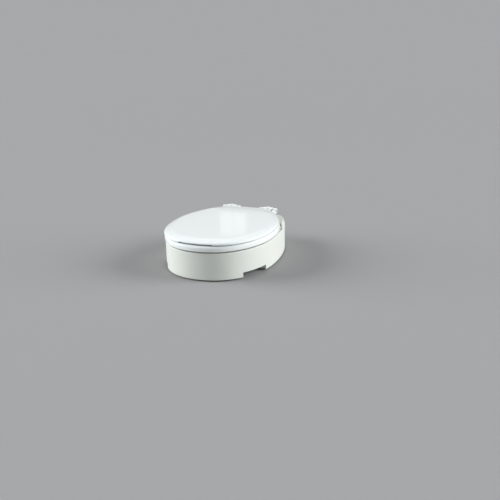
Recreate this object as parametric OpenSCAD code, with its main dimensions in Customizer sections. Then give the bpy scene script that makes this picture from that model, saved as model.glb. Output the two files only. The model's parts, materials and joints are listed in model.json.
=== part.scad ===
// Raised toilet seat: hinged riser on a bowl bracket, with a hinged seat ring and lid.
// Millimetres. Origin midway between the two bowl bolts, on the plane of the bowl rim.
// +Z up, -Y to the front of the bowl, +X to the right hand of a person facing the bowl.

/* [Riser] */
// Length of the riser from front to back
riser_len = 483; // [470:1:500]
// Width of the riser
riser_w = 356; // [345:1:370]
// Height of the deck above the bowl rim
riser_h = 89; // [76:1:110]
// Distance of the back of the riser behind the bowl bolts
riser_back = 28; // [26:1:34]
// Distance of the widest section in front of the bowl bolts
wide_y = 226; // [210:1:235]
// Thickness of the moulded walls
wall = 4; // [3:0.5:5]
// Thickness of the stiffening ribs
rib_t = 3; // [2:0.5:4]
// Height of the shoulder blocks above the deck
shoulder_h = 23; // [18:1:26]
// Front end of the shoulder blocks
shoulder_front = -150; // [-155:1:-145]
// Back end of the shoulder blocks
shoulder_back = -116; // [-120:1:-110]

/* [Bowl fixing] */
// Spacing of the two bowl bolts
bolt_spacing = 140; // [140:0.5:140]
// Radius of the bowl bolt shank
bolt_r = 3.97; // [3.9:0.01:4.05]
// Length of the bowl bolt below the rim plane
bolt_drop = 75; // [65:1:85]

/* [Seat] */
// Half width of the seat ring
seat_hw = 180; // [178:1:186]
// Gap between the deck and the underside of the seat ring
seat_gap = 5; // [4:0.5:6]
// Height of the seat ring
seat_t = 18; // [16:1:20]
// Half width of the seat opening
open_hw = 108; // [100:1:112]
// Half length of the seat opening
open_hl = 137.5; // [130:0.5:140]

/* [Lid] */
// Half width of the lid
lid_hw = 176; // [170:1:178]
// Gap between the seat ring and the lip of the lid
lid_gap = 1.5; // [1:0.5:2]
// Height of the rim of the lid
lid_rim = 9.5; // [8:0.5:11]
// Rise of the crown of the lid above its rim
lid_crown = 5; // [3:0.5:6]

/* [Hinges] */
// Radius of the seat and lid hinge pins
pin_r = 4; // [3.5:0.1:4.5]
// Radius of the riser pivot pins
pivot_r = 5; // [4:0.1:6]
// Radial running clearance of every hinge
run = 0.05; // [0.02:0.01:0.08]

/* [Arm bracket slots] */
// Front end of each slot
slot_front = 391; // [382:1:394]
// Back end of each slot
slot_back = 301; // [292:1:306]
// Height of each slot above the lower edge
slot_h = 15; // [13:1:17]

/* [Hidden] */
$fn = 48;
seg = 18;
foot = 4;
y0 = -wide_y;
hw = riser_w / 2;
fs = riser_len - riser_back - wide_y;
bx = bolt_spacing / 2;
deck_z = riser_h;
open_y = -247.5;
piv_y = 17;
piv_z = 72;
hin_z = deck_z + 21;
seat_z0 = deck_z + seat_gap;
seat_z1 = seat_z0 + seat_t;
seat_fs = fs + 4;
lid_z0 = seat_z1 + lid_gap;
lid_z1 = lid_z0 + lid_rim;
lid_fs = fs - 1;
lid_back = -18;
seat_back = -22;
mid_y = -240;
mid_hw = 146;
mid_hl = 183;
bump_f = [50.2, -414.8];
bump_r = [125.7, -137.2];
sbump_f = [52, -420];
sbump_r = [133, -158];
lbump_f = [56, -411];
lbump_r = [137, -172];

function pw(v, n) = sign(v) * pow(abs(v), 2 / n);

// Closed plan outline: front half oval, back half oval cut straight at yb with eased corners.
function plan_pts(w, f, fe, r, re, yb, rc) =
    let (
        ts = asin(pow((yb - rc - y0) / r, re / 2)),
        tc = asin(pow((yb - y0) / r, re / 2)),
        xs = w * pw(cos(ts), re),
        xc = w * pw(cos(tc), re),
        xe = xc - rc,
        nb = 10,
        nc = 5,
        front = [for (i = [0 : 2 * seg]) let (t = 180 + 90 * i / seg)
            [w * pw(cos(t), fe), y0 + f * pw(sin(t), fe)]],
        side = [for (i = [1 : nb]) let (t = ts * i / nb) [w * pw(cos(t), re), y0 + r * pw(sin(t), re)]],
        corner = [for (i = [1 : nc]) let (u = i / nc)
            [(1 - u) * (1 - u) * xs + 2 * u * (1 - u) * xc + u * u * xe,
             (1 - u) * (1 - u) * (yb - rc) + 2 * u * (1 - u) * yb + u * u * yb]],
        right = concat(side, corner),
        left = [for (i = [len(right) - 1 : -1 : 0]) [-right[i][0], right[i][1]]]
    )
    concat(front, right, left);

function oval_pts(w, l, e, yc) = [for (i = [0 : 4 * seg - 1]) let (t = 180 + 90 * i / seg)
    [w * pw(cos(t), e), yc + l * pw(sin(t), e)]];

module riser_plan(d = 0) {
    polygon(plan_pts(hw - d, fs - d, 2.15, 320 - d, 2, riser_back - d, 18 - d));
}

module seat_plan(d = 0) {
    polygon(plan_pts(seat_hw - d, seat_fs - d, 2.15, 240 - d, 1.75, seat_back - d, 20));
}

module lid_plan(d = 0) {
    polygon(plan_pts(lid_hw - d, lid_fs - d, 2.35, 240 - d, 1.72, lid_back - d, 18));
}

module hole_plan(d = 0) {
    polygon(oval_pts(open_hw + d, open_hl + d, 2.2, open_y));
}

module mid_plan(d = 0) {
    polygon(oval_pts(mid_hw - d, mid_hl - d, 2.2, mid_y));
}

module slab(z0, z1) {
    translate([0, 0, z0])
        linear_extrude(height = z1 - z0)
            children();
}

module both() {
    children();
    mirror([1, 0, 0])
        children();
}

module along_x(x0, x1, y, z, r) {
    translate([x0, y, z])
        rotate([0, 90, 0])
            cylinder(r = r, h = x1 - x0);
}

module side_box(x0, x1, ya, yb, z0, z1) {
    translate([x0, ya, z0])
        cube([x1 - x0, yb - ya, z1 - z0]);
}

// ---- bowl bracket ----

module bracket_half() {
    side_box(0, 90, -28, 26, 3, 9);
    side_box(0, 90, -28, -25, 9, 13);
    side_box(0, 80, 23, 26, 9, 13);
    side_box(80, 90, 9.5, 24.5, 8, piv_z);
    along_x(80, 90, piv_y, piv_z, 8);
    translate([86, 0, 0])
        rotate([90, 0, 90])
            linear_extrude(height = 4)
                polygon([[-25, 8], [10, 8], [10, 52]]);
}

module hinge_bracket() {
    color([0.93, 0.93, 0.91])
        difference() {
            both()
                bracket_half();
            for (s = [-1, 1])
                translate([s * bx, 0, -1])
                    cylinder(r = 5.6, h = 20);
            along_x(-110, 110, piv_y, piv_z, pivot_r);
            both()
                side_box(-1, 40, -18, 16, 6, 12);
        }
}

module bracket_pads() {
    color([0.25, 0.25, 0.26])
        both()
            difference() {
                side_box(38, 88, -26, 24, 0, 3);
                translate([bx, 0, -1])
                    cylinder(r = 5.6, h = 5);
            }
}

module bowl_bolts() {
    color([0.75, 0.76, 0.78])
        for (s = [-1, 1])
            translate([s * bx, 0, 0])
                difference() {
                    union() {
                        translate([0, 0, 9])
                            cylinder(r = 11, h = 3);
                        translate([0, 0, 12])
                            cylinder(r1 = 11, r2 = 8, h = 2);
                        translate([0, 0, -25])
                            cylinder(r = bolt_r, h = 34);
                        translate([0, 0, 2 - bolt_drop])
                            cylinder(r = 3.6, h = bolt_drop - 27);
                        translate([0, 0, -bolt_drop])
                            cylinder(r1 = 2.6, r2 = 3.6, h = 2);
                    }
                    translate([-12, -0.8, 12.4])
                        cube([24, 1.6, 3]);
                }
}

module bowl_cone_washers() {
    color([0.2, 0.2, 0.21])
        for (s = [-1, 1])
            translate([s * bx, 0, -37])
                difference() {
                    union() {
                        cylinder(r = 14, h = 4);
                        translate([0, 0, 4])
                            cylinder(r1 = 14, r2 = 8, h = 6);
                    }
                    translate([0, 0, -1])
                        cylinder(r = 3.9, h = 12);
                }
}

module bowl_flat_washers() {
    color([0.75, 0.76, 0.78])
        for (s = [-1, 1])
            translate([s * bx, 0, -39])
                difference() {
                    cylinder(r = 13, h = 2);
                    translate([0, 0, -1])
                        cylinder(r = 4.1, h = 4);
                }
}

module bowl_wing_nuts() {
    color([0.92, 0.92, 0.9])
        for (s = [-1, 1])
            translate([s * bx, 0, -55])
                difference() {
                    union() {
                        cylinder(r = 9, h = 16);
                        translate([-22, -2.5, 0])
                            cube([44, 5, 13]);
                    }
                    translate([0, 0, -1])
                        cylinder(r = 3.6, h = 18);
                }
}

module pivot_pin() {
    color([0.78, 0.79, 0.8])
        union() {
            along_x(80, 100.5, piv_y, piv_z, pivot_r);
            translate([100.5, piv_y, piv_z])
                rotate([0, 90, 0])
                    cylinder(r1 = pivot_r, r2 = pivot_r - 1, h = 1);
        }
}

module pivot_pin_left() {
    mirror([1, 0, 0])
        pivot_pin();
}

module pivot_pin_right() {
    pivot_pin();
}

module pivot_bush() {
    color([0.85, 0.85, 0.82])
        difference() {
            union() {
                along_x(91, 100, piv_y, piv_z, 7);
                along_x(90.5, 92, piv_y, piv_z, 8.5);
            }
            along_x(90, 101, piv_y, piv_z, pivot_r + run);
        }
}

module pivot_bush_left() {
    mirror([1, 0, 0])
        pivot_bush();
}

module pivot_bush_right() {
    pivot_bush();
}

// ---- riser ----

module shoulder_region() {
    difference() {
        riser_plan(0);
        seat_plan(-3);
        translate([-200, shoulder_back])
            square([400, 200]);
        translate([-200, shoulder_front - 400])
            square([400, 400]);
    }
}

module rib_lines() {
    for (a = [-90, -66, -114, -6, 186, 16, 164, 38, 142])
        translate([0, open_y])
            rotate(a)
                translate([0, -rib_t / 2])
                    square([300, rib_t]);
    for (x = [-104, -44, 0, 44, 104])
        translate([x - rib_t / 2, -120])
            square([rib_t, 146]);
}

module ring_region(o, i) {
    difference() {
        riser_plan(o);
        hole_plan(i);
    }
}

module slot_walls() {
    for (x = [-200, 84])
        for (y = [-slot_front - rib_t, -slot_back])
            translate([x, y])
                square([116, rib_t]);
}

module riser_shell() {
    color([0.93, 0.92, 0.88])
        difference() {
            union() {
                // outer skirt
                slab(foot, deck_z)
                    difference() {
                        riser_plan(0);
                        riser_plan(wall);
                    }
                // deck
                slab(deck_z - wall, deck_z)
                    ring_region(0.5, 5.5);
                // inner skirt round the opening
                slab(foot + 4, deck_z)
                    difference() {
                        hole_plan(8);
                        hole_plan(5);
                    }
                // concentric rib
                slab(6, deck_z - 2)
                    intersection() {
                        difference() {
                            mid_plan(-rib_t / 2);
                            mid_plan(rib_t / 2);
                        }
                        ring_region(2, 6);
                    }
                // radial and lengthwise ribs
                slab(20, deck_z - 2)
                    intersection() {
                        rib_lines();
                        ring_region(2, 6);
                    }
                // end walls and roof of the arm bracket channels
                slab(foot, 22)
                    intersection() {
                        slot_walls();
                        ring_region(2, 6);
                    }
                slab(19, 22)
                    intersection() {
                        ring_region(2, 6);
                        for (x = [-200, 84])
                            translate([x, -slot_front - rib_t])
                                square([116, slot_front - slot_back + 2 * rib_t]);
                    }
                // bosses of the bumpers
                both() {
                    for (p = [bump_f, bump_r])
                        translate([p[0], p[1], foot])
                            cylinder(r = 9, h = deck_z - foot - 2);
                }
                // bosses of the seat bolts
                both()
                    translate([bx, 0, deck_z - 10])
                        cylinder(r = 13, h = 8);
                // pivot lugs
                both() {
                    side_box(91, 100, 9.5, 24.5, piv_z, deck_z - 2);
                    along_x(91, 100, piv_y, piv_z, 9);
                }
                // shoulder blocks
                slab(deck_z - wall, deck_z + shoulder_h)
                    shoulder_region();
            }
            // arm bracket slots
            both()
                side_box(86, 200, -slot_front, -slot_back, foot - 1, foot + slot_h);
            // room for the bowl bracket under the back
            side_box(-92, 92, -64, 40, foot - 1, 22);
            both()
                side_box(78.5, 92, 5, 40, foot - 1, deck_z - wall);
            // holes
            both() {
                translate([bx, 0, 70])
                    cylinder(r = 4.3, h = 30);
                for (p = [bump_f, bump_r])
                    translate([p[0], p[1], foot - 1])
                        cylinder(r = 4, h = 13);
                along_x(91.5, 101, piv_y, piv_z, 7);
            }
        }
}

module riser_bumper(p, s) {
    color([0.72, 0.73, 0.74])
        translate([s * p[0], p[1], 0])
            union() {
                translate([0, 0, 1])
                    cylinder(r = 12, h = foot - 1);
                cylinder(r1 = 11, r2 = 12, h = 1);
                translate([0, 0, foot])
                    cylinder(r = 4, h = 11);
            }
}

module riser_bumper_front_left() {
    riser_bumper(bump_f, -1);
}

module riser_bumper_front_right() {
    riser_bumper(bump_f, 1);
}

module riser_bumper_rear_left() {
    riser_bumper(bump_r, -1);
}

module riser_bumper_rear_right() {
    riser_bumper(bump_r, 1);
}

// ---- seat posts ----

module seat_post() {
    color([0.95, 0.95, 0.95])
        difference() {
            union() {
                side_box(52, 88, -14, 14, deck_z, deck_z + 4);
                side_box(54, 86, -10.5, 10.5, deck_z + 3, hin_z);
                along_x(54, 86, 0, hin_z, 11);
            }
            translate([bx, 0, deck_z - 1])
                cylinder(r = 4.3, h = 12);
            translate([bx, 0, deck_z + 8])
                cylinder(r = 8.5, h = 30);
            translate([bx, 0, hin_z + 6])
                cylinder(r = 9.5, h = 10);
            along_x(50, 60.5, 0, hin_z, pin_r);
            along_x(79.5, 90, 0, hin_z, pin_r);
        }
}

module seat_post_left() {
    mirror([1, 0, 0])
        seat_post();
}

module seat_post_right() {
    seat_post();
}

module post_cap() {
    color([0.95, 0.95, 0.95])
        translate([bx, 0, hin_z + 6])
            union() {
                cylinder(r = 9.4, h = 4);
                translate([0, 0, 4])
                    cylinder(r1 = 9.4, r2 = 7.9, h = 1.5);
                translate([0, 0, -3])
                    cylinder(r = 8.5, h = 3);
            }
}

module post_cap_left() {
    mirror([1, 0, 0])
        post_cap();
}

module post_cap_right() {
    post_cap();
}

module seat_bolts() {
    color([0.75, 0.76, 0.78])
        for (s = [-1, 1])
            translate([s * bx, 0, 0])
                difference() {
                    union() {
                        translate([0, 0, deck_z + 8])
                            cylinder(r = 8, h = 4.5);
                        translate([0, 0, 64])
                            cylinder(r = 4, h = deck_z + 8 - 64);
                    }
                    translate([-9, -0.8, deck_z + 10.5])
                        cube([18, 1.6, 3]);
                }
}

module seat_bolt_washers() {
    color([0.75, 0.76, 0.78])
        for (s = [-1, 1])
            translate([s * bx, 0, deck_z - 12])
                difference() {
                    cylinder(r = 11, h = 2);
                    translate([0, 0, -1])
                        cylinder(r = 4.3, h = 4);
                }
}

module seat_nuts() {
    color([0.75, 0.76, 0.78])
        for (s = [-1, 1])
            translate([s * bx, 0, deck_z - 18.5])
                difference() {
                    cylinder(r = 8, h = 6.5, $fn = 6);
                    translate([0, 0, -1])
                        cylinder(r = 4, h = 9);
                }
}

module seat_pin_left() {
    color([0.78, 0.79, 0.8])
        along_x(-102, -79.5, 0, hin_z, pin_r);
}

module seat_pin_right() {
    color([0.78, 0.79, 0.8])
        along_x(79.5, 102, 0, hin_z, pin_r);
}

module lid_pin_left() {
    color([0.78, 0.79, 0.8])
        along_x(-60.5, -38, 0, hin_z, pin_r);
}

module lid_pin_right() {
    color([0.78, 0.79, 0.8])
        along_x(38, 60.5, 0, hin_z, pin_r);
}

// ---- seat ring ----

module seat_ring() {
    color([0.96, 0.97, 0.97])
        difference() {
            union() {
                slab(seat_z0, seat_z1)
                    seat_plan(0);
                both() {
                    side_box(88, 102, -60, 0, hin_z - 9, seat_z1 - 0.5);
                    along_x(88, 102, 0, hin_z, 9);
                }
            }
            slab(seat_z0 - 1, seat_z1 + 1)
                hole_plan(0);
            along_x(-103, 103, 0, hin_z, pin_r + run);
        }
}

module seat_bumper(p, s) {
    color([0.72, 0.73, 0.74])
        translate([s * p[0], p[1], deck_z])
            union() {
                cylinder(r1 = 9, r2 = 10, h = 1);
                translate([0, 0, 1])
                    cylinder(r = 10, h = seat_gap - 1);
            }
}

module seat_bumper_front_left() {
    seat_bumper(sbump_f, -1);
}

module seat_bumper_front_right() {
    seat_bumper(sbump_f, 1);
}

module seat_bumper_rear_left() {
    seat_bumper(sbump_r, -1);
}

module seat_bumper_rear_right() {
    seat_bumper(sbump_r, 1);
}

// ---- lid ----

module lid_dome(d, z0, h) {
    translate([0, -307, z0])
        linear_extrude(height = h, scale = [0.862, 0.82], slices = 1, $fn = 4)
            translate([0, 307])
                lid_plan(d);
}

module lid() {
    color([0.96, 0.97, 0.97])
        difference() {
            union() {
                slab(lid_z0, lid_z1)
                    lid_plan(0);
                lid_dome(0, lid_z1, lid_crown);
                both() {
                    side_box(38, 52, -17.5, 0, hin_z - 9, lid_z0 + 5.5);
                    side_box(38, 52, -23, -17, lid_z0, lid_z0 + 5.5);
                    along_x(38, 52, 0, hin_z, 9);
                }
            }
            slab(lid_z0 - 1, lid_z1 - 4)
                lid_plan(4);
            lid_dome(9, lid_z1 - 4.1, lid_crown);
            along_x(-53, 53, 0, hin_z, pin_r + run);
            // finger recess along the front edge
            side_box(-55, 55, -470, -436, lid_z0 - 1, lid_z0 + 2.5);
        }
}

module lid_bumpers() {
    color([0.72, 0.73, 0.74])
        both() {
            for (p = [lbump_f, lbump_r])
                translate([p[0], p[1], seat_z1])
                    cylinder(r = 8, h = lid_z1 - 4 - seat_z1);
        }
}

hinge_bracket();
bracket_pads();
bowl_bolts();
bowl_cone_washers();
bowl_flat_washers();
bowl_wing_nuts();
pivot_pin_left();
pivot_pin_right();
pivot_bush_left();
pivot_bush_right();
riser_shell();
riser_bumper_front_left();
riser_bumper_front_right();
riser_bumper_rear_left();
riser_bumper_rear_right();
seat_post_left();
seat_post_right();
post_cap_left();
post_cap_right();
seat_bolts();
seat_bolt_washers();
seat_nuts();
seat_pin_left();
seat_pin_right();
lid_pin_left();
lid_pin_right();
seat_ring();
seat_bumper_front_left();
seat_bumper_front_right();
seat_bumper_rear_left();
seat_bumper_rear_right();
lid();
lid_bumpers();
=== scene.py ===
import bmesh
import bpy
import json
import math
import numpy as np
from mathutils import Matrix, Vector


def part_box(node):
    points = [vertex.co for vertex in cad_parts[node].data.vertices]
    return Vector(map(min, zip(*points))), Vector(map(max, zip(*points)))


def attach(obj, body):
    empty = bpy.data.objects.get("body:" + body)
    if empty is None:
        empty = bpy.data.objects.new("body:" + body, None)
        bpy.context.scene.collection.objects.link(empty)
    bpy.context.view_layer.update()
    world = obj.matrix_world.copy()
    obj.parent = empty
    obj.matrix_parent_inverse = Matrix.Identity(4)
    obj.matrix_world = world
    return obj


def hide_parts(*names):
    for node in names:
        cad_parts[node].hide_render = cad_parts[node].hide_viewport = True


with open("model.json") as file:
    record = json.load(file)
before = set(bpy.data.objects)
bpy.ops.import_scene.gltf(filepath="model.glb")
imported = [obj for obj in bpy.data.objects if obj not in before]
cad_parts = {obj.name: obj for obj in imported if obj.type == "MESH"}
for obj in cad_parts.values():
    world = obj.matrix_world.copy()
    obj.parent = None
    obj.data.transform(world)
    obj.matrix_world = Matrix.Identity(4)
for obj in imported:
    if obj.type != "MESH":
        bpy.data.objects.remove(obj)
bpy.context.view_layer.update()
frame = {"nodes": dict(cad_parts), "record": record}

MM = 0.001


def box_mm(node):
    low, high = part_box(node)
    return np.array(low) / MM, np.array(high) / MM


# ---------- sizes in millimetres, from the frame where it holds them ----------
RISER_LOW, RISER_HIGH = box_mm("riser_shell")
SEAT_LOW, SEAT_HIGH = box_mm("seat_ring")
LID_LOW, LID_HIGH = box_mm("lid")
AXIS = {j["name"]: np.array(j["pos_m"]) / MM for j in frame["record"]["behaviour"]["joints"]}
PIVOT_Y, PIVOT_Z = AXIS["riser_hinge"][1:]
HINGE_Z = AXIS["lid_hinge"][2]
FOOT = RISER_LOW[2]
RESTING = 0.03  # hairline left under a bumper, so that resting faces touch without sharing a plane
DECK = box_mm("seat_bumper_front_left")[0][2] - RESTING
SHOULDER_TOP = RISER_HIGH[2]
SEAT_BASE = SEAT_LOW[2]
SEAT_TOP = SEAT_BASE + 18 - RESTING
LIP = SEAT_TOP + 1.5 + RESTING
LID_TOP = LID_HIGH[2]
WIDEST_Y = -226.0
OPEN_Y = -247.5
WALL = 4.0
RIB = 3.0
SHOULDER_FRONT, SHOULDER_BACK = -150.0, -116.0
SHOULDER_GAP = 3.3
SLOT_FRONT, SLOT_BACK, SLOT_H = -391.0, -301.0, 15.0
CHANNEL_IN = 84.0
BRACKET_HALF = 92.0
POCKET_IN = 78.5
BRACKET_CUT_Z = 22.0
LUG_IN, LUG_OUT, LUG_R, BUSH_R = 92.0, 100.0, 9.0, 7.0
BOLT_X = 70.0
RISER_BUMPERS = ((50.2, -414.8), (125.7, -137.2))
RADIAL_RIBS = (-90, -66, -114, -6, 186, 16, 164, 38, 142)
LENGTH_RIBS = (-104, -44, 0, 44, 104)
RECESS_HALF = 55.0
SEAT_EAR, LID_EAR = (88, 102), (38, 52)  # inner and outer face of each hinge ear, across X
EAR_BORE = 4.05
SIDE_POINTS = 690  # points of RISER along its nose and side, before the rear corner
BACK_CORNER_Y = 8


# ---------- plan curves ----------
def super_power(v, n):
    return np.sign(v) * np.abs(v) ** (2.0 / n)


def plan(half_width, front, front_exp, rear, rear_exp, back_y, corner_r):
    """Right half of an outline, from the front tip round to the middle of the straight back."""
    t = np.radians(np.linspace(270, 360, 400))
    nose = np.stack([half_width * super_power(np.cos(t), front_exp),
                     WIDEST_Y + front * super_power(np.sin(t), front_exp)], 1)
    t_side = math.asin(((back_y - corner_r - WIDEST_Y) / rear) ** (rear_exp / 2))
    t_back = math.asin(((back_y - WIDEST_Y) / rear) ** (rear_exp / 2))
    t = np.linspace(0, t_side, 300)[1:]
    side = np.stack([half_width * super_power(np.cos(t), rear_exp),
                     WIDEST_Y + rear * super_power(np.sin(t), rear_exp)], 1)
    x_side = half_width * super_power(np.cos(t_side), rear_exp)
    x_back = half_width * super_power(np.cos(t_back), rear_exp)
    u = np.linspace(0, 1, 60)[1:, None]
    a = np.array([x_side, back_y - corner_r])
    b = np.array([x_back, back_y])
    c = np.array([x_back - corner_r, back_y])
    corner = (1 - u) ** 2 * a + 2 * u * (1 - u) * b + u * u * c
    back = np.stack([np.linspace(x_back - corner_r, 0, 60)[1:], np.full(59, back_y)], 1)
    return np.vstack([nose, side, corner, back])


def oval(half_width, half_length, exponent, centre_y):
    t = np.radians(np.linspace(-90, 90, 500))
    return np.stack([half_width * super_power(np.cos(t), exponent),
                     centre_y + half_length * super_power(np.sin(t), exponent)], 1)


def arc_length(p):
    return np.concatenate([[0], np.cumsum(np.linalg.norm(np.diff(p, axis=0), axis=1))])


def outward(p):
    """Outward normals of a half curve that runs from the front tip round the right side."""
    t = np.gradient(p, axis=0)
    t /= np.linalg.norm(t, axis=1)[:, None] + 1e-12
    n = np.stack([t[:, 1], -t[:, 0]], 1)
    n[0] = [0, -1]
    n[-1] = [0, 1]
    return n


def sample(curve, s):
    """Points and outward normals of a half curve at the arc lengths s."""
    a, n = arc_length(curve), outward(curve)
    p = np.stack([np.interp(s, a, curve[:, 0]), np.interp(s, a, curve[:, 1])], 1)
    q = np.stack([np.interp(s, a, n[:, 0]), np.interp(s, a, n[:, 1])], 1)
    return p, q / np.linalg.norm(q, axis=1)[:, None]


def polar(p):
    return np.arctan2(p[:, 0], -(p[:, 1] - OPEN_Y))


def facing(curve, pts):
    """Points and normals of a curve at the polar angles of pts about the opening's centre."""
    ang, q, n = polar(curve), polar(pts), outward(curve)
    p = np.stack([np.interp(q, ang, curve[:, 0]), np.interp(q, ang, curve[:, 1])], 1)
    m = np.stack([np.interp(q, ang, n[:, 0]), np.interp(q, ang, n[:, 1])], 1)
    return p, m / np.linalg.norm(m, axis=1)[:, None]


def half_at_y(curve, y):
    """Half width of a half curve at each y."""
    k = np.argsort(curve[:, 1], kind="stable")
    return np.interp(y, curve[k, 1], curve[k, 0])


def mirror_ring(half):
    """Closed loop from rows that run from the front tip to the middle of the back."""
    left = half[1:-1][::-1].copy()
    left[:, 0] *= -1
    return np.vstack([half, left])


def quarter(angles):
    for a in angles:
        yield math.cos(math.radians(a)), math.sin(math.radians(a))


def smooth_step(x):
    x = np.clip(x, 0, 1)
    return x * x * (3 - 2 * x)


RISER = plan(RISER_HIGH[0], WIDEST_Y - RISER_LOW[1], 2.15, 320, 2.0, RISER_HIGH[1], 18)
SEAT = plan(SEAT_HIGH[0], WIDEST_Y - SEAT_LOW[1], 2.15, 240, 1.75, -22, 20)
LID = plan(LID_HIGH[0], WIDEST_Y - LID_LOW[1], 2.35, 240, 1.72, -18, 18)
SEAT_HOLE = oval(108, 137.5, 2.2, OPEN_Y)
RISER_HOLE = oval(113, 142.5, 2.2, OPEN_Y)
MIDDLE_RIB = oval(146, 183, 2.2, -240)


# ---------- meshes ----------
def link(name, verts, faces, sharp=35):
    mesh = bpy.data.meshes.new(name)
    mesh.from_pydata((np.asarray(verts) * MM).tolist(), [], faces)
    mesh.validate()
    mesh.update()
    obj = bpy.data.objects.new(name, mesh)
    bpy.context.scene.collection.objects.link(obj)
    return shade(obj, sharp)


def shade(obj, sharp):
    obj.data.polygons.foreach_set("use_smooth", [True] * len(obj.data.polygons))
    obj.data.set_sharp_from_angle(angle=math.radians(sharp))
    return obj


def loft(rings, close=True):
    """Quads between closed rings of equal length. close joins the last ring to the first."""
    count, size = len(rings), len(rings[0])
    faces = []
    for r in range(count if close else count - 1):
        a, b = r * size, ((r + 1) % count) * size
        faces += [(a + s, a + (s + 1) % size, b + (s + 1) % size, b + s) for s in range(size)]
    return np.vstack(rings), faces


def clean(obj, sharp=35):
    """Weld, drop slivers and turn the faces outward."""
    bm = bmesh.new()
    bm.from_mesh(obj.data)
    bmesh.ops.remove_doubles(bm, verts=bm.verts, dist=2e-6)
    bmesh.ops.dissolve_degenerate(bm, edges=bm.edges, dist=2e-6)
    bmesh.ops.recalc_face_normals(bm, faces=bm.faces)
    bm.to_mesh(obj.data)
    bm.free()
    return shade(obj, sharp)


def join(name, objs):
    bpy.ops.object.select_all(action="DESELECT")
    for o in objs:
        o.select_set(True)
    bpy.context.view_layer.objects.active = objs[0]
    bpy.ops.object.join()
    objs[0].name = name
    objs[0].data.name = name
    return objs[0]


def soften(obj, width, angle=30):
    m = obj.modifiers.new("soft", "BEVEL")
    m.width = width * MM
    m.segments = 2
    m.limit_method = "ANGLE"
    m.angle_limit = math.radians(angle)
    bpy.context.view_layer.objects.active = obj
    bpy.ops.object.select_all(action="DESELECT")
    obj.select_set(True)
    bpy.ops.object.modifier_apply(modifier=m.name)
    return shade(obj, 40)


def steady_shading(obj):
    """Let the large flat faces set the normals, so that narrow faces beside them don't crease the shading."""
    m = obj.modifiers.new("steady", "WEIGHTED_NORMAL")
    m.keep_sharp = True
    m.weight = 80
    bpy.context.view_layer.objects.active = obj
    bpy.ops.object.modifier_apply(modifier=m.name)
    return obj


def hexa(corners):
    """A block from eight corners: four low, then the four above them."""
    f = [(0, 3, 2, 1), (4, 5, 6, 7), (0, 1, 5, 4), (1, 2, 6, 5), (2, 3, 7, 6), (3, 0, 4, 7)]
    return clean(link("block", corners, f))


def plate(footprint, z0, z1):
    return hexa([(x, y, z) for z in (z0, z1) for x, y in footprint])


def boss(x, y, z0, z1, r, bevel=0.6, n=48):
    t = np.linspace(0, 2 * np.pi, n, endpoint=False)
    c = np.stack([x + r * np.cos(t), y + r * np.sin(t)], 1)
    v, f = loft([np.c_[c, np.full(n, z)] for z in (z0, z1)], close=False)
    f += [tuple(range(n))[::-1], tuple(range(n, 2 * n))]
    return soften(clean(link("boss", v, f)), bevel)


def pierced_plate(x0, x1, outer, yc, zc, r, bevel):
    """A plate across X with a round hole. outer goes round the hole once, as (y, z) rows."""
    ang = np.arctan2(outer[:, 1] - zc, outer[:, 0] - yc)
    inner = np.stack([yc + r * np.cos(ang), zc + r * np.sin(ang)], 1)
    section = ((x0, outer), (x1, outer), (x1, inner), (x0, inner))
    rings = [np.c_[np.full(len(outer), x), ring] for x, ring in section]
    return soften(clean(link("lug", *loft(rings))), bevel, angle=50)


def round_end(r, zc, yc, first, last, n=40):
    t = np.radians(np.linspace(first, last, n))
    return np.stack([yc + r * np.cos(t), zc + r * np.sin(t)], 1)


# ---------- riser ----------
def arc_at_side(y):
    a = arc_length(RISER)
    return float(np.interp(y, RISER[:SIDE_POINTS, 1], a[:SIDE_POINTS]))


def arc_at_back(x):
    k = RISER[:, 1] > BACK_CORNER_Y
    return float(np.interp(-x, -RISER[k, 0], arc_length(RISER)[k]))


def rounded_rise(d, h, r):
    """Height at distance d past the start of a step of h whose upper corner is rounded to r."""
    r = min(r, h)
    return np.where(d < 0, 0.0, np.where(d > r, h, h - r + np.sqrt(np.maximum(r * r - (r - d) ** 2, 0))))


def riser_stations():
    """Arc lengths round the riser, gathered on both sides of every step in its edges."""
    total = arc_length(RISER)[-1]
    steps = ((arc_at_side(SLOT_FRONT), 1), (arc_at_side(SLOT_BACK), -1),
             (arc_at_side(SHOULDER_FRONT), 1), (arc_at_side(SHOULDER_BACK), -1),
             (arc_at_back(BRACKET_HALF), 1), (arc_at_back(POCKET_IN), -1), (arc_at_back(POCKET_IN), 1))
    past_step = (0, 0.02, 0.15, 0.4, 0.8, 1.3, 2.0, 3.0, 4.2, 5.5, 7.0)
    s = list(np.linspace(0, total, 300))
    for at, side in steps:
        s += [at - side * 0.02] + [at + side * d for d in past_step]
    s = np.unique(np.round(np.clip(s, 0, total), 4))
    return s[np.concatenate([[True], np.diff(s) > 0.012])]


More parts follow.
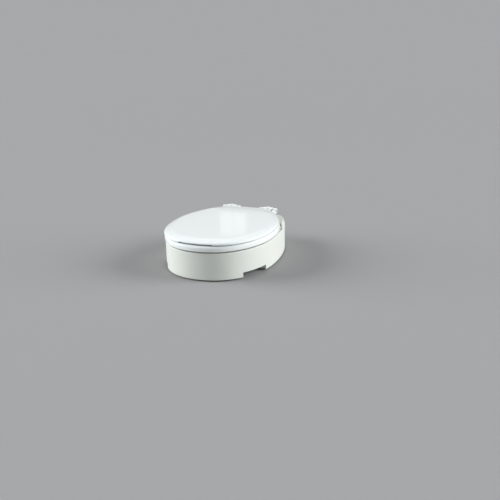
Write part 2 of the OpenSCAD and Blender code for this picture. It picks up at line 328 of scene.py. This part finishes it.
def riser_skin():
    s = riser_stations()
    n = len(s)
    edge, edge_n = sample(RISER, s)
    hole, hole_n = facing(RISER_HOLE, edge)
    s_front, s_back = arc_at_side(SHOULDER_FRONT), arc_at_side(SHOULDER_BACK)
    rise = SHOULDER_TOP - DECK
    top = DECK + np.minimum(rounded_rise(s - s_front, rise, 6), rounded_rise(s_back - s, rise, 6))
    slot = np.minimum(rounded_rise(s - arc_at_side(SLOT_FRONT), SLOT_H, 3),
                      rounded_rise(arc_at_side(SLOT_BACK) - s, SLOT_H, 3))
    cut = rounded_rise(s - arc_at_back(BRACKET_HALF), BRACKET_CUT_Z - FOOT, 2.5)
    pocket = np.minimum(rounded_rise(s - arc_at_back(BRACKET_HALF), DECK - 5 - FOOT, 3),
                        rounded_rise(arc_at_back(POCKET_IN) - s, DECK - 5 - FOOT, 3))
    bottom = FOOT + np.maximum(np.maximum(slot, cut), pocket)

    def level(points, z):
        return np.c_[points, np.broadcast_to(z, (n,))]

    def inset(d, z):
        return level(edge - edge_n * d, z)

    # foot of the shoulder blocks' inner faces, on the lines from the outline to the opening
    shoulder = (s > s_front - 1e-6) & (s < s_back + 1e-6)
    inward = (hole - edge) / np.linalg.norm(hole - edge, axis=1)[:, None]
    plain_width = 14.0
    foot = edge + inward * plain_width
    width = np.full(n, plain_width)
    for i in np.where(shoulder)[0]:
        q = edge[i] + np.linspace(0, 0.6, 1500)[:, None] * (hole[i] - edge[i])
        solid = q[:, 0] > half_at_y(SEAT, q[:, 1]) + SHOULDER_GAP
        k = np.argmax(~solid)
        foot[i] = q[max(k, 1)]
        width[i] = max(np.linalg.norm(foot[i] - edge[i]), 0.6)
    r_out = np.where(shoulder, np.clip(0.5 * width, 0.3, 7.0), 3.5)
    r_out = np.minimum(r_out, np.maximum(top - DECK, 3.5))
    r_in = np.where(shoulder, np.clip(0.3 * width, 0.15, 2.5), 1.0)
    straight = np.maximum(top - r_out, bottom + 0.91)

    rings = [inset(WALL, bottom + 0.3), inset(WALL - 0.8, bottom), inset(0.9, bottom),
             inset(0.25, bottom + 0.25), inset(0, bottom + 0.9)]
    for u in (0.12, 0.3, 0.5, 0.7, 0.88, 1.0):
        rings.append(inset(0, bottom + 0.9 + (straight - bottom - 0.9) * u))
    for c, sn in quarter((15, 30, 45, 60, 75, 90)):
        rings.append(level(edge - edge_n * (r_out * (1 - c))[:, None], top - r_out + r_out * sn))
    crest = rings[-1][:, :2]
    for u in (0.35, 0.7):
        rings.append(level(crest + (foot - inward * r_in[:, None] - crest) * u, top))
    drop = np.minimum(r_in, top - DECK)
    for c, sn in quarter((90, 60, 30, 0)):
        rings.append(level(foot - inward * (r_in * (1 - c))[:, None], top - drop * (1 - sn)))
    fillet = np.minimum(1.5, np.maximum(top - DECK - r_in, 0))
    rings += [level(foot, DECK + fillet), level(foot + inward * 0.5, DECK + fillet * 0.35),
              level(foot + inward * 1.6, DECK)]
    deck_from, deck_to = foot + inward * 1.6, hole + hole_n * 3.0
    for u in (0.2, 0.45, 0.7, 0.9, 1.0):
        rings.append(level(deck_from + (deck_to - deck_from) * u, DECK))
    for c, sn in quarter((22, 45, 68, 90)):
        rings.append(level(hole + hole_n * 3.0 * (1 - sn), DECK - 3.0 + 3.0 * c))
    inner_skirt = ((0, 60), (0, 30), (0, 9), (0.8, 8), (2.2, 8), (3, 9), (3, 40), (3, DECK - 6),
                   (4.5, DECK - WALL))
    for d, z in inner_skirt:
        rings.append(level(hole + hole_n * d, z))
    roof_from, roof_to = rings[-1][:, :2], edge - edge_n * (WALL + 1.5)
    for u in (0.3, 0.6, 1.0):
        rings.append(level(roof_from + (roof_to - roof_from) * u, DECK - WALL))
    inner_top = DECK - WALL - 1.5
    for u in (0.0, 0.35, 0.7):
        rings.append(inset(WALL, inner_top + (np.minimum(bottom + 0.3, inner_top) - inner_top) * u))
    return clean(link("riser_skin", *loft([mirror_ring(r) for r in rings])), 38)


def radius_at(curve, angle):
    p = mirror_ring(curve)
    ang = np.arctan2(p[:, 1] - OPEN_Y, p[:, 0])
    return np.interp(angle, ang, np.hypot(p[:, 0], p[:, 1] - OPEN_Y), period=2 * np.pi)


def radial_rib(degrees):
    a = math.radians(degrees)
    d = np.array([math.cos(a), math.sin(a)])
    n = np.array([-d[1], d[0]]) * RIB / 2
    centre = np.array([0, OPEN_Y])
    inner = centre + d * (radius_at(RISER_HOLE, a) + 1.5)
    outer = centre + d * (radius_at(RISER, a) - 1.5)
    return plate((inner - n, outer - n, outer + n, inner + n), 20, DECK - 2)


def length_rib(x):
    k = RISER_HOLE[:, 1] > OPEN_Y
    front = float(np.interp(-abs(x), -RISER_HOLE[k, 0], RISER_HOLE[k, 1])) + 1.5
    back = RISER_HIGH[1] - 2.5 if abs(x) < BRACKET_HALF else 14.0
    h = RIB / 2
    return plate(((x - h, front), (x + h, front), (x + h, back), (x - h, back)), BRACKET_CUT_Z, DECK - 2)


def middle_rib():
    p, n = sample(MIDDLE_RIB, np.linspace(0, arc_length(MIDDLE_RIB)[-1], 160))
    low = np.where((p[:, 1] > SLOT_FRONT - 4) & (p[:, 1] < SLOT_BACK + 4), 20.0, 6.0)
    low = np.where((np.abs(p[:, 0]) < BRACKET_HALF) & (p[:, 1] > -90), BRACKET_CUT_Z, low)
    high = np.full(len(low), DECK - 2)
    h = RIB / 2
    rings = [np.c_[p + n * d, z] for d, z in ((-h, low), (h, low), (h, high), (-h, high))]
    return clean(link("middle_rib", *loft([mirror_ring(r) for r in rings])))


def arm_channel(side):
    """End walls and roof of the channel that takes an arm bracket."""
    parts = []
    for y in (SLOT_FRONT - RIB, SLOT_BACK):
        x1 = float(half_at_y(RISER, y + RIB / 2)) - WALL
        xs = sorted((CHANNEL_IN * side, x1 * side))
        parts.append(plate(((xs[0], y), (xs[1], y), (xs[1], y + RIB), (xs[0], y + RIB)), 5, BRACKET_CUT_Z))
    y = np.linspace(SLOT_FRONT - 2, SLOT_BACK + 2, 24)
    outer = half_at_y(RISER, y) - 1.5
    loop = np.vstack([np.c_[np.full(24, CHANNEL_IN), y], np.c_[outer[::-1], y[::-1]]])
    loop[:, 0] *= side
    v, f = loft([np.c_[loop, np.full(48, z)] for z in (19, BRACKET_CUT_Z)], close=False)
    for base in (0, 48):
        f += [(base + i, base + i + 1, base + 46 - i, base + 47 - i) for i in range(23)]
    parts.append(clean(link("channel_roof", v, f)))
    return parts


def pivot_lug(side):
    y0, y1 = PIVOT_Y - 7.5, PIVOT_Y + 7.5
    top = DECK - 2
    stem = [[PIVOT_Y + LUG_R, PIVOT_Z + 1], [y1, PIVOT_Z + 6], [y1, top], [PIVOT_Y, top],
            [y0, top], [y0, PIVOT_Z + 6], [PIVOT_Y - LUG_R, PIVOT_Z + 1]]
    outline = np.vstack([round_end(LUG_R, PIVOT_Z, PIVOT_Y, 185, 355, 30), stem])
    xs = sorted((LUG_IN * side, LUG_OUT * side))
    return pierced_plate(xs[0], xs[1], outline, PIVOT_Y, PIVOT_Z, BUSH_R, 0.5)


def build_riser():
    parts = [riser_skin(), middle_rib()]
    parts += [radial_rib(a) for a in RADIAL_RIBS]
    parts += [length_rib(x) for x in LENGTH_RIBS]
    for side in (-1, 1):
        parts += arm_channel(side)
        parts += [boss(side * x, y, FOOT, DECK - 2, 9) for x, y in RISER_BUMPERS]
        parts.append(boss(side * BOLT_X, 0, DECK - 10, DECK - 2, 13, 0.8))
        parts.append(pivot_lug(side))
    riser = steady_shading(join("riser", parts))
    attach(riser, "riser")
    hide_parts("riser_shell")
    return riser


# ---------- seat ring ----------
def seat_skin():
    edge, edge_n = sample(SEAT, np.linspace(0, arc_length(SEAT)[-1], 260))
    hole, hole_n = facing(SEAT_HOLE, edge)
    n = len(edge)
    r_out, r_in, fall = 7.2, 11.0, 9.0

    def outer(d, z):
        return np.c_[edge - edge_n * d, np.full(n, z)]

    def inner(d, z):
        return np.c_[hole + hole_n * d, np.full(n, z)]

    side = ((14, 0), (1.8, 0), (0.5, 0.5), (0, 1.8), (0, 4), (0, 7), (0, 10.2))
    rings = [outer(d, SEAT_BASE + z) for d, z in side]
    rings += [outer(r_out * (1 - c), SEAT_TOP - 7.6 + r_out * sn)
              for c, sn in quarter((15, 30, 45, 60, 75, 90))]
    flat_from, flat_to = edge - edge_n * r_out, hole + hole_n * r_in
    for u, z in ((0.15, -0.1), (0.3, 0), (0.5, 0), (0.7, 0), (0.85, -0.1), (1, -0.4)):
        rings.append(np.c_[flat_from + (flat_to - flat_from) * u, np.full(n, SEAT_TOP + z)])
    rings += [inner(r_in * (1 - c), SEAT_TOP - 9.4 + fall * sn) for c, sn in quarter((75, 60, 45, 30, 15, 0))]
    rings += [inner(d, SEAT_BASE + z) for d, z in ((0, 4), (0, 1.5), (0.5, 0.4), (1.6, 0), (14, 0))]
    return clean(link("seat_skin", *loft([mirror_ring(r) for r in rings])), 38)


def seat_ear(side):
    low, high, reach, r = HINGE_Z - 9, SEAT_TOP - 0.7, -60.0, 9.0
    bar = [[-9.3, high + 0.6], [-11.5, high], [reach / 2, high], [reach, high],
           [reach, (low + high) / 2], [reach, low], [reach / 2, low], [-8, low], [-4, low]]
    outline = np.vstack([round_end(r, HINGE_Z, 0, -90, 167), bar])
    xs = sorted(x * side for x in SEAT_EAR)
    return pierced_plate(xs[0], xs[1], outline, 0, HINGE_Z, EAR_BORE, 1.0)


def build_seat():
    seat = join("seat", [seat_skin()] + [seat_ear(side) for side in (-1, 1)])
    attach(seat, "seat")
    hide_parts("seat_ring")
    return seat


# ---------- lid ----------
def lid_skin():
    edge, edge_n = sample(LID, np.linspace(0, arc_length(LID)[-1], 300))
    n = len(edge)
    centre = np.array([0.0, OPEN_Y])
    brim = LID_TOP - 5
    front = edge[:, 1] < -300
    lip = LIP + 2.5 * smooth_step((RECESS_HALF + 2 - np.abs(edge[:, 0])) / 2.0) * front

    def rim(d, z):
        return np.c_[edge - edge_n * d, np.broadcast_to(z, (n,))]

    def shrunk(k, z, base):
        """The outline shrunk towards the middle at height z, which falls back to base along the rear edge."""
        p = centre + (edge - centre) * k
        rear = smooth_step((-22 - p[:, 1]) / 75.0)
        return np.c_[p, base + (z - base) * rear]

    rings = [rim(4, lip + 0.6), rim(3.2, lip), rim(1.2, lip), rim(0.3, lip + 0.4), rim(0, lip + 1.4)]
    edge_roll = ((0, 3.6), (0.3, 4.8), (1.0, 6.0), (2.1, 7.1), (3.6, 8.0), (5.4, 8.8))
    rings += [rim(d, LIP + z) for d, z in edge_roll]
    slope = ((0.955, -4.1), (0.935, -3.2), (0.915, -2.2), (0.898, -1.4), (0.883, -0.8), (0.868, -0.42),
             (0.85, -0.25), (0.8, -0.15), (0.7, -0.07), (0.55, -0.03), (0.4, 0), (0.25, 0), (0.12, 0),
             (0.04, 0))
    rings += [shrunk(k, LID_TOP + z, brim) for k, z in slope]
    top_count = len(rings)
    hollow = ((0.04, 0), (0.3, 0), (0.6, 0), (0.82, -0.2), (0.87, -1.5), (0.92, -3.5), (0.955, -4.8))
    rings += [shrunk(k, LID_TOP - 4 + z, LID_TOP - 9) for k, z in hollow]
    rings += [rim(4.4, LID_TOP - 9.5), rim(4, LID_TOP - 11)]
    loops = [mirror_ring(r) for r in rings]
    size = len(loops[0])
    v, f = loft(loops)
    gap = (top_count - 1) * size
    f = f[:gap] + f[gap + size:]
    top_pole, low_pole = len(v), len(v) + 1
    v = np.vstack([v, [[*centre, LID_TOP]], [[*centre, LID_TOP - 4]]])
    for i in range(size):
        j = (i + 1) % size
        f += [(gap + i, gap + j, top_pole), (gap + size + j, gap + size + i, low_pole)]
    return clean(link("lid_skin", v, f), 38)


def lid_ear(side):
    roof = LIP + 5.5
    low = HINGE_Z - 9
    bar = [[-6, roof], [-12, roof], [-23, roof], [-23, LIP], [-17.5, LIP - 1], [-17, low], [-9, low],
           [-4, low]]
    outline = np.vstack([round_end(9, HINGE_Z, 0, -90, 100), bar])
    xs = sorted(x * side for x in LID_EAR)
    return pierced_plate(xs[0], xs[1], outline, 0, HINGE_Z, EAR_BORE, 0.8)


def build_lid():
    lid = join("lid_cover", [lid_skin()] + [lid_ear(side) for side in (-1, 1)])
    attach(lid, "lid")
    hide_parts("lid")
    return lid


# ---------- materials ----------
def noise(tree, vector, scale, detail):
    node = tree.nodes.new("ShaderNodeTexNoise")
    node.inputs["Scale"].default_value = scale
    node.inputs["Detail"].default_value = detail
    tree.links.new(vector, node.inputs["Vector"])
    return node.outputs["Fac"]


def remap(tree, value, low, high, to_low, to_high):
    node = tree.nodes.new("ShaderNodeMapRange")
    for name, number in (("From Min", low), ("From Max", high), ("To Min", to_low), ("To Max", to_high)):
        node.inputs[name].default_value = number
    tree.links.new(value, node.inputs["Value"])
    return node.outputs["Result"]


def material(name, colour, rough, metal=0.0, coat=0.0, grain=400, depth=0.05, vary=0.03, drawn=False):
    """Moulded or drawn finish: slow change of tone and gloss, with a fine surface grain as bump."""
    m = bpy.data.materials.new(name)
    m.use_nodes = True
    tree = m.node_tree
    shader = tree.nodes["Principled BSDF"]
    shader.inputs["Metallic"].default_value = metal
    shader.inputs["Coat Weight"].default_value = coat
    shader.inputs["Coat Roughness"].default_value = 0.06
    place = tree.nodes.new("ShaderNodeTexCoord").outputs["Object"]
    slow = noise(tree, place, 9.0, 6.0)
    tone = tree.nodes.new("ShaderNodeMix")
    tone.data_type = "RGBA"
    colour_a, colour_b = [s for s in tone.inputs if s.type == "RGBA"]
    colour_a.default_value = (*colour, 1)
    colour_b.default_value = (*[c * (1 - 2 * vary) for c in colour], 1)
    tree.links.new(remap(tree, slow, 0.35, 0.75, 0, 1), tone.inputs["Factor"])
    tree.links.new([s for s in tone.outputs if s.type == "RGBA"][0], shader.inputs["Base Color"])
    tree.links.new(remap(tree, slow, 0, 1, rough * 0.85, min(1.0, rough * 1.2)), shader.inputs["Roughness"])
    if drawn:
        stretch = tree.nodes.new("ShaderNodeMapping")
        stretch.inputs["Scale"].default_value = (0.08, 1.0, 1.0)
        tree.links.new(place, stretch.inputs["Vector"])
        place = stretch.outputs["Vector"]
    bump = tree.nodes.new("ShaderNodeBump")
    bump.inputs["Strength"].default_value = depth
    bump.inputs["Distance"].default_value = 0.001
    tree.links.new(noise(tree, place, grain, 3.0), bump.inputs["Height"])
    tree.links.new(bump.outputs["Normal"], shader.inputs["Normal"])
    return m


MATERIALS = {
    "riser_plastic": material("riser_plastic", (0.70, 0.735, 0.685), 0.34, grain=420, depth=0.05, vary=0.015),
    "seat_plastic": material("seat_plastic", (0.82, 0.87, 0.865), 0.12, coat=0.6, grain=60, depth=0.012,
                             vary=0.01),
    "white_nylon": material("white_nylon", (0.80, 0.81, 0.79), 0.38, grain=500, depth=0.12),
    "grey_rubber": material("grey_rubber", (0.52, 0.53, 0.54), 0.62, grain=700, depth=0.25, vary=0.05),
    "dark_rubber": material("dark_rubber", (0.03, 0.03, 0.032), 0.7, grain=700, depth=0.35, vary=0.1),
    "stainless_steel": material("stainless_steel", (0.62, 0.63, 0.65), 0.28, metal=1.0, grain=900, depth=0.12,
                                vary=0.05, drawn=True),
}
EDGE_BEVEL = {"white_nylon": 1.0, "grey_rubber": 0.8, "dark_rubber": 0.6, "stainless_steel": 0.4,
              "seat_plastic": 1.0}


def paint(obj, slot):
    obj.data.materials.clear()
    obj.data.materials.append(MATERIALS[slot])


def dress_cad_nodes():
    """Give every CAD node that still shows its finish and eased edges."""
    slots = {s["node"]: s["material_slot"] for s in frame["record"]["subparts"]}
    for name, obj in frame["nodes"].items():
        if obj.hide_render:
            continue
        paint(obj, slots[name])
        obj.modifiers.new("weld", "WELD").merge_threshold = 2e-6
        edge = obj.modifiers.new("edge", "BEVEL")
        edge.width = EDGE_BEVEL[slots[name]] * MM
        edge.segments = 3
        edge.limit_method = "ANGLE"
        edge.angle_limit = math.radians(40)
        edge.harden_normals = True


# ---------- studio ----------
def plain(name, colour, rough):
    m = bpy.data.materials.new(name)
    m.use_nodes = True
    shader = m.node_tree.nodes["Principled BSDF"]
    shader.inputs["Base Color"].default_value = (*colour, 1)
    shader.inputs["Roughness"].default_value = rough
    return m


def panel(name, place, target, width, height, power):
    light = bpy.data.lights.new(name, "AREA")
    light.shape = "RECTANGLE"
    light.size, light.size_y = width, height
    light.energy = power
    obj = bpy.data.objects.new(name, light)
    bpy.context.scene.collection.objects.link(obj)
    obj.location = place
    obj.rotation_euler = (Vector(target) - Vector(place)).to_track_quat("-Z", "Y").to_euler()
    obj.visible_camera = False


def broad_light(name, azimuth, elevation, spread, strength):
    """Even light over the whole stage from azimuth (0 is the front, 90 the right) at elevation, in degrees.

    Glossy surfaces reflect only a tenth of it, as they would a far larger and dimmer softbox.
    """
    az, el = math.radians(azimuth), math.radians(elevation)
    source = Vector((math.sin(az) * math.cos(el), -math.cos(az) * math.cos(el), math.sin(el)))
    for part, share in (("fill", 0.9), ("sheen", 0.1)):
        light = bpy.data.lights.new(f"{name}_{part}", "SUN")
        light.energy = strength * share
        light.angle = math.radians(spread)
        obj = bpy.data.objects.new(light.name, light)
        bpy.context.scene.collection.objects.link(obj)
        obj.rotation_euler = source.to_track_quat("Z", "Y").to_euler()
        obj.visible_glossy = part == "sheen"


def build_studio():
    bpy.ops.mesh.primitive_plane_add(size=400, location=(0, 0, -0.0005))
    floor = bpy.context.object
    floor.name = "floor"
    floor.data.materials.append(plain("floor", (0.304, 0.307, 0.311), 0.9))
    world = bpy.data.worlds.new("world")
    bpy.context.scene.world = world
    world.use_nodes = True
    world.node_tree.nodes["Background"].inputs["Color"].default_value = (0.97, 0.98, 1.0, 1)
    world.node_tree.nodes["Background"].inputs["Strength"].default_value = 0.4
    broad_light("left", azimuth=-76, elevation=21, spread=40, strength=4.0)
    broad_light("right", azimuth=108, elevation=21, spread=40, strength=3.6)
    lid_spot = (0.046, -0.252, 0.128)
    panes = (("window_left_pane", (-0.87, 1.76, 0.766)), ("window_right_pane", (-0.786, 1.80, 0.766)))
    for name, place in panes:
        panel(name, place, lid_spot, width=0.085, height=0.18, power=0.016)


# ---------- camera ----------
def build_camera():
    azimuth, elevation, roll = math.radians(24.0), math.radians(17.58), math.radians(-1.81)
    distance = 2.0845
    back = Vector((math.sin(azimuth) * math.cos(elevation), -math.cos(azimuth) * math.cos(elevation),
                   math.sin(elevation)))
    level = Vector((math.cos(azimuth), math.sin(azimuth), 0))
    upright = back.cross(level)
    right = level * math.cos(roll) + upright * math.sin(roll)
    up = upright * math.cos(roll) - level * math.sin(roll)
    place = Vector((0, WIDEST_Y * MM, 0.06)) + back * distance
    data = bpy.data.cameras.new("camera")
    camera = bpy.data.objects.new("camera", data)
    bpy.context.scene.collection.objects.link(camera)
    camera.matrix_world = Matrix([(right[i], up[i], back[i], place[i]) for i in range(3)] + [(0, 0, 0, 1)])
    data.sensor_width = 36
    data.lens = 45.29
    data.shift_x = 0.0496
    data.shift_y = -0.0200
    data.clip_end = 50
    bpy.context.scene.camera = camera


paint(build_riser(), "riser_plastic")
paint(build_seat(), "seat_plastic")
paint(build_lid(), "seat_plastic")
dress_cad_nodes()
build_studio()
build_camera()
bpy.context.scene.view_settings.view_transform = "Standard"
